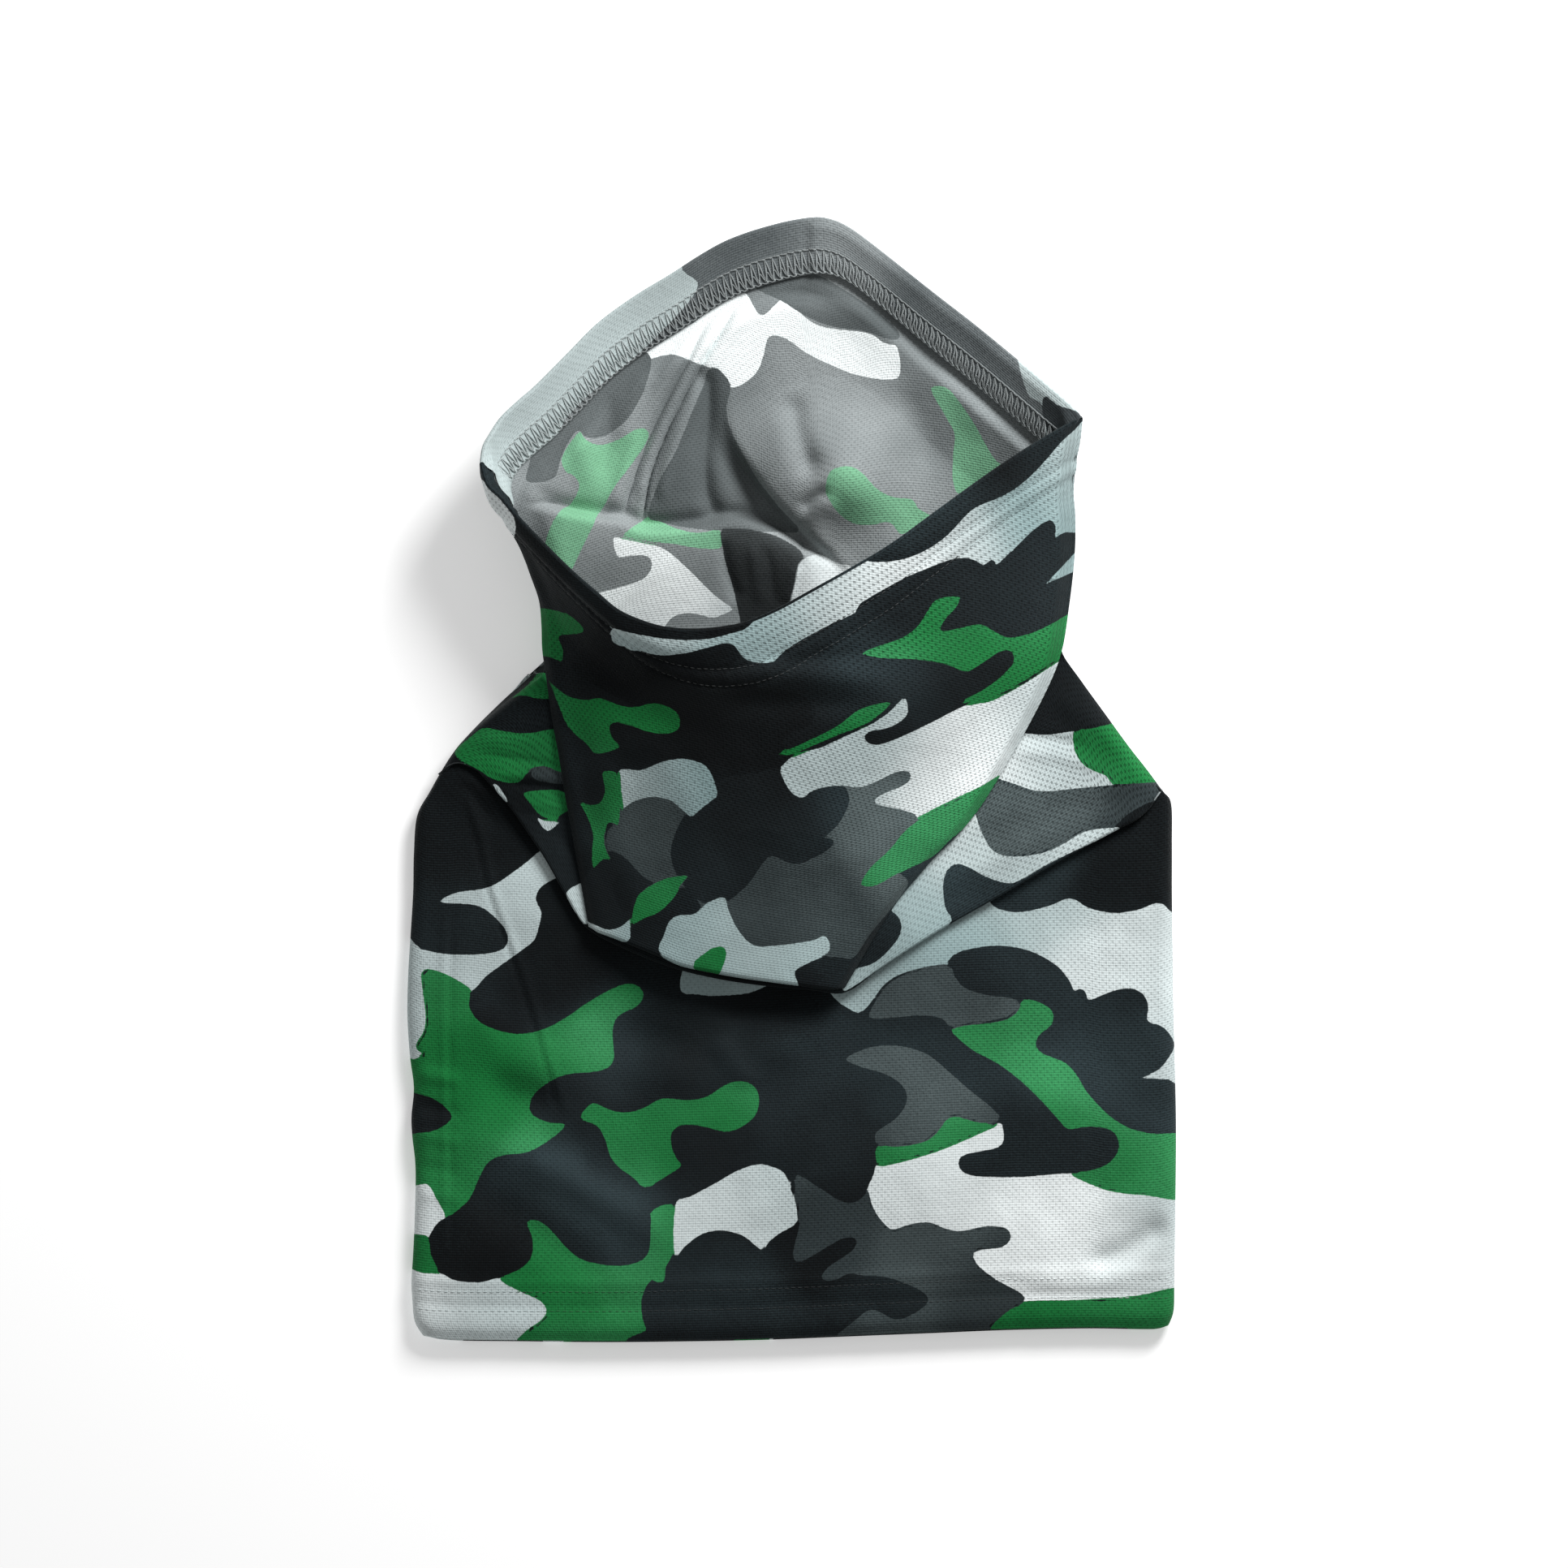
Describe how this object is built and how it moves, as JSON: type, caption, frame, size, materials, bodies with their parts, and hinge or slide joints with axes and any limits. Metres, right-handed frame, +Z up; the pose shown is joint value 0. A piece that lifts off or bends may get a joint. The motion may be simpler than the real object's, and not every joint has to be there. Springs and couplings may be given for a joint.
{
  "type": "neck gaiter",
  "caption": "Stretch-knit neck tube laid flat, its upper end slouched into an open cowl, with folded hems at both openings and a camouflage pattern.",
  "frame": {"origin": "middle of the laid-out footprint, on the surface the gaiter lies on", "axes": "+X to the right across the tube, +Y along the tube towards the cowl's rim, +Z up from the surface it lies on"},
  "size_m": [0.25, 0.369, 0.048],
  "materials": {
    "printed_knit": "matt printed micro-mesh polyester knit",
    "knit_inside": "matt unprinted back of the knit with the print showing through",
    "seam_edge": "overlocked raw edge",
    "sewing_thread": "spun polyester thread"
  },
  "bodies": {
    "lower_back": {"lower_back_panel": "printed_knit", "waist_front_panel": "printed_knit", "lower_hem_back": "knit_inside", "side_seam_lower": "seam_edge", "side_seam_thread_lower": "sewing_thread", "lower_back_needle_thread_a": "sewing_thread", "lower_back_needle_thread_b": "sewing_thread", "lower_back_looper_thread": "sewing_thread"},
    "lower_front": {"lower_front_panel": "printed_knit", "lower_hem_front": "knit_inside", "lower_front_needle_thread_a": "sewing_thread", "lower_front_needle_thread_b": "sewing_thread", "lower_front_looper_thread": "sewing_thread"},
    "upper_tube": {"upper_back_panel": "printed_knit", "upper_front_panel": "printed_knit", "cowl_tuck": "knit_inside", "cowl_hem_back": "knit_inside", "side_seam_upper": "seam_edge", "side_seam_thread_upper": "sewing_thread", "cowl_back_needle_thread_a": "sewing_thread", "cowl_back_needle_thread_b": "sewing_thread", "cowl_back_looper_thread": "sewing_thread"},
    "cowl_front": {"cowl_front_panel": "printed_knit", "cowl_hem_front": "knit_inside", "cowl_front_needle_thread_a": "sewing_thread", "cowl_front_needle_thread_b": "sewing_thread", "cowl_front_looper_thread": "sewing_thread"}
  },
  "joints": [
    {"name": "waist_fold", "type": "hinge", "parent": "lower_back", "child": "upper_tube", "pos_m": [0, -0.092, 0.0092], "axis": [1, 0, 0], "range_deg": [0, 90]},
    {"name": "hem_open", "type": "hinge", "parent": "lower_back", "child": "lower_front", "pos_m": [0, -0.115, 0.0092], "axis": [-1, 0, 0], "range_deg": [0, 25]},
    {"name": "cowl_open", "type": "hinge", "parent": "upper_tube", "child": "cowl_front", "pos_m": [0, -0.0695, 0.0155], "axis": [1, 0, 0], "range_deg": [0, 25]}
  ]
}
